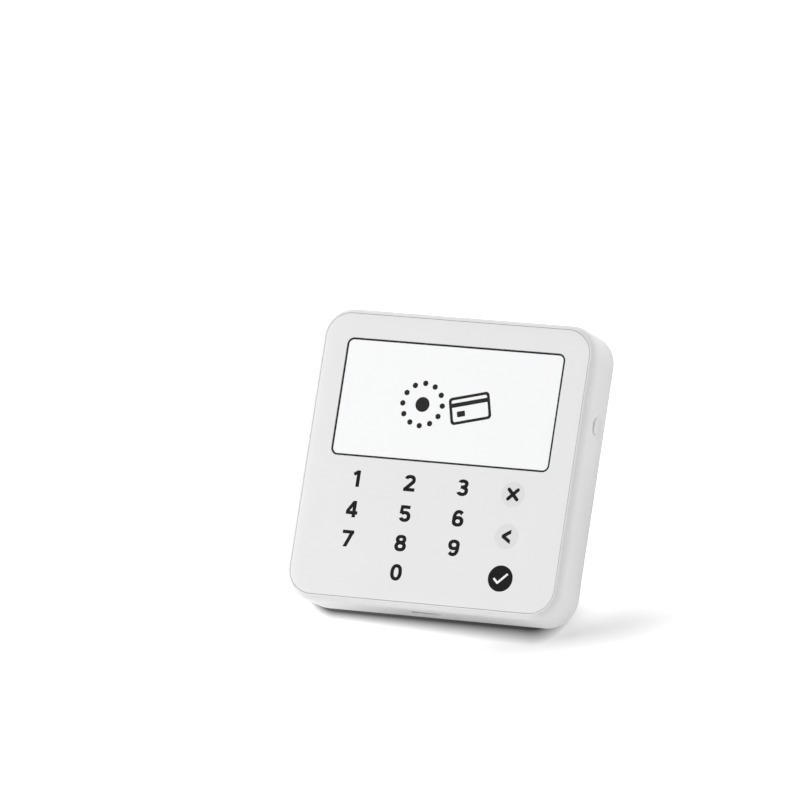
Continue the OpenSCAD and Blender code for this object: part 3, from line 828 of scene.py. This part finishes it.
def stacked(name, levels, finish, hollow=False):
    """A solid through loops of equal length, each (points, height), from the bottom to the top.
    A hollow one closes its last loop onto its first."""
    count = len(levels[0][0])
    corners = [(x, y, z) for loop, z in levels for x, y in loop]
    faces = []
    rings = len(levels)
    for ring in range(rings if hollow else rings - 1):
        low, high = ring * count, (ring + 1) % rings * count
        for k in range(count):
            after = (k + 1) % count
            faces.append([low + k, low + after, high + after, high + k])
    if not hollow:
        faces.append(list(reversed(range(count))))
        faces.append(list(range((rings - 1) * count, rings * count)))
    return solid_piece(name, corners, faces, finish)


def display():
    """Lit sheet, black border line and picture, under a clear pane that fills the plate's opening."""
    low, high = [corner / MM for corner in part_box("display_window")]
    back = high.z - PANE

    def loop(inset):
        radius = WINDOW_RADIUS - inset
        return rounded_loop(low.x + inset, low.y + inset, high.x - inset, high.y - inset, radius)

    pane = stacked("display_pane", [
        (loop(0), back),
        (loop(0), high.z - GLASS_EDGE),
        (loop(GLASS_EDGE * 0.3), high.z - GLASS_EDGE * 0.3),
        (loop(GLASS_EDGE), high.z),
    ], "window_clear")
    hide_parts("display_window")
    stacked("display_sheet", [
        (loop(SHEET_INSET), low.z),
        (loop(SHEET_INSET), back - SHEET_DEPTH),
    ], "display_lit")
    stacked("display_border", [
        (loop(SHEET_INSET), back - PRINT_DEPTH),
        (loop(SHEET_INSET), back - BORDER_DEPTH),
        (loop(BORDER), back - BORDER_DEPTH),
        (loop(BORDER), back - PRINT_DEPTH),
    ], "display_ink", hollow=True)
    middle_x = (low.x + high.x) / 2 + PICTURE_SHIFT[0]
    middle_y = (low.y + high.y) / 2 + PICTURE_SHIFT[1]
    for name, shape, centre_x, turn, reach in (
        ("display_dots", dot_ring(), middle_x - PICTURE_APART, 0, (7, 7)),
        ("display_card", card_picture(), middle_x + PICTURE_APART, CARD_TURN, (7, 6)),
    ):
        centre = (centre_x, middle_y)
        cut_out(
            name, moved(shape, *centre, turn), centre, reach, PICTURE_CELL,
            lambda x, y: back - PRINT_DEPTH,
            lambda x, y: back - PICTURE_DEPTH,
            "display_ink",
        )


# ---- Stage ----

def make_floor():
    """A wide square at the height on which the terminal's feet rest."""
    half = FLOOR_HALF * MM
    corners = [(-half, -half, 0), (half, -half, 0), (half, half, 0), (-half, half, 0)]
    mesh = bpy.data.meshes.new("floor")
    mesh.from_pydata(corners, [], [(0, 1, 2, 3)])
    floor = bpy.data.objects.new("floor", mesh)
    mesh.materials.append(floor_white())
    bpy.context.scene.collection.objects.link(floor)


def lamp(name, place, power):
    """A square soft lamp that faces the object. Metres and watts."""
    light = bpy.data.lights.new(name, "AREA")
    light.shape = "SQUARE"
    light.size = LAMP_SIZE
    light.energy = power
    made = bpy.data.objects.new(name, light)
    made.location = place
    made.rotation_euler = (-place).to_track_quat("-Z", "Y").to_euler()
    bpy.context.scene.collection.objects.link(made)


def make_lights():
    """Four soft lamps round the object and a pale sky."""
    for name, (azimuth, elevation, power) in LAMPS.items():
        around, above = math.radians(azimuth), math.radians(elevation)
        direction = Vector((
            math.cos(around) * math.cos(above),
            math.sin(around) * math.cos(above),
            math.sin(above),
        ))
        lamp(name, direction * LAMP_DISTANCE, power)
    world = bpy.data.worlds.new("studio")
    world.use_nodes = True
    sky = world.node_tree.nodes["Background"]
    sky.inputs["Color"].default_value = (1, 1, 1, 1)
    sky.inputs["Strength"].default_value = SKY_GLOW
    bpy.context.scene.world = world


def make_camera():
    """A long lens, turned off the face's normal to its right and below, and then rolled."""
    right, below, roll = (math.radians(a) for a in (VIEW_RIGHT, VIEW_BELOW, VIEW_ROLL))
    back = Vector((
        math.sin(right) * math.cos(below),
        -math.sin(below),
        math.cos(right) * math.cos(below),
    ))
    level = Vector((0, 1, 0)).cross(back).normalized()
    upright = back.cross(level)
    across = level * math.cos(roll) + upright * math.sin(roll)
    up = back.cross(across)
    aim = Vector((VIEW_AIM[0], VIEW_AIM[1], FACE_Z)) * MM
    data = bpy.data.cameras.new("camera")
    data.sensor_width = 36
    data.lens = LENS
    data.clip_start = 0.01
    data.clip_end = 50
    camera = bpy.data.objects.new("camera", data)
    turn = Matrix((across, up, back)).transposed().to_4x4()
    camera.matrix_world = Matrix.Translation(aim + back * VIEW_DISTANCE) @ turn
    bpy.context.scene.collection.objects.link(camera)
    bpy.context.scene.camera = camera


dress_frame()
keypad()
function_keys()
display()
make_floor()
make_lights()
make_camera()
bpy.context.scene.view_settings.view_transform = "Standard"
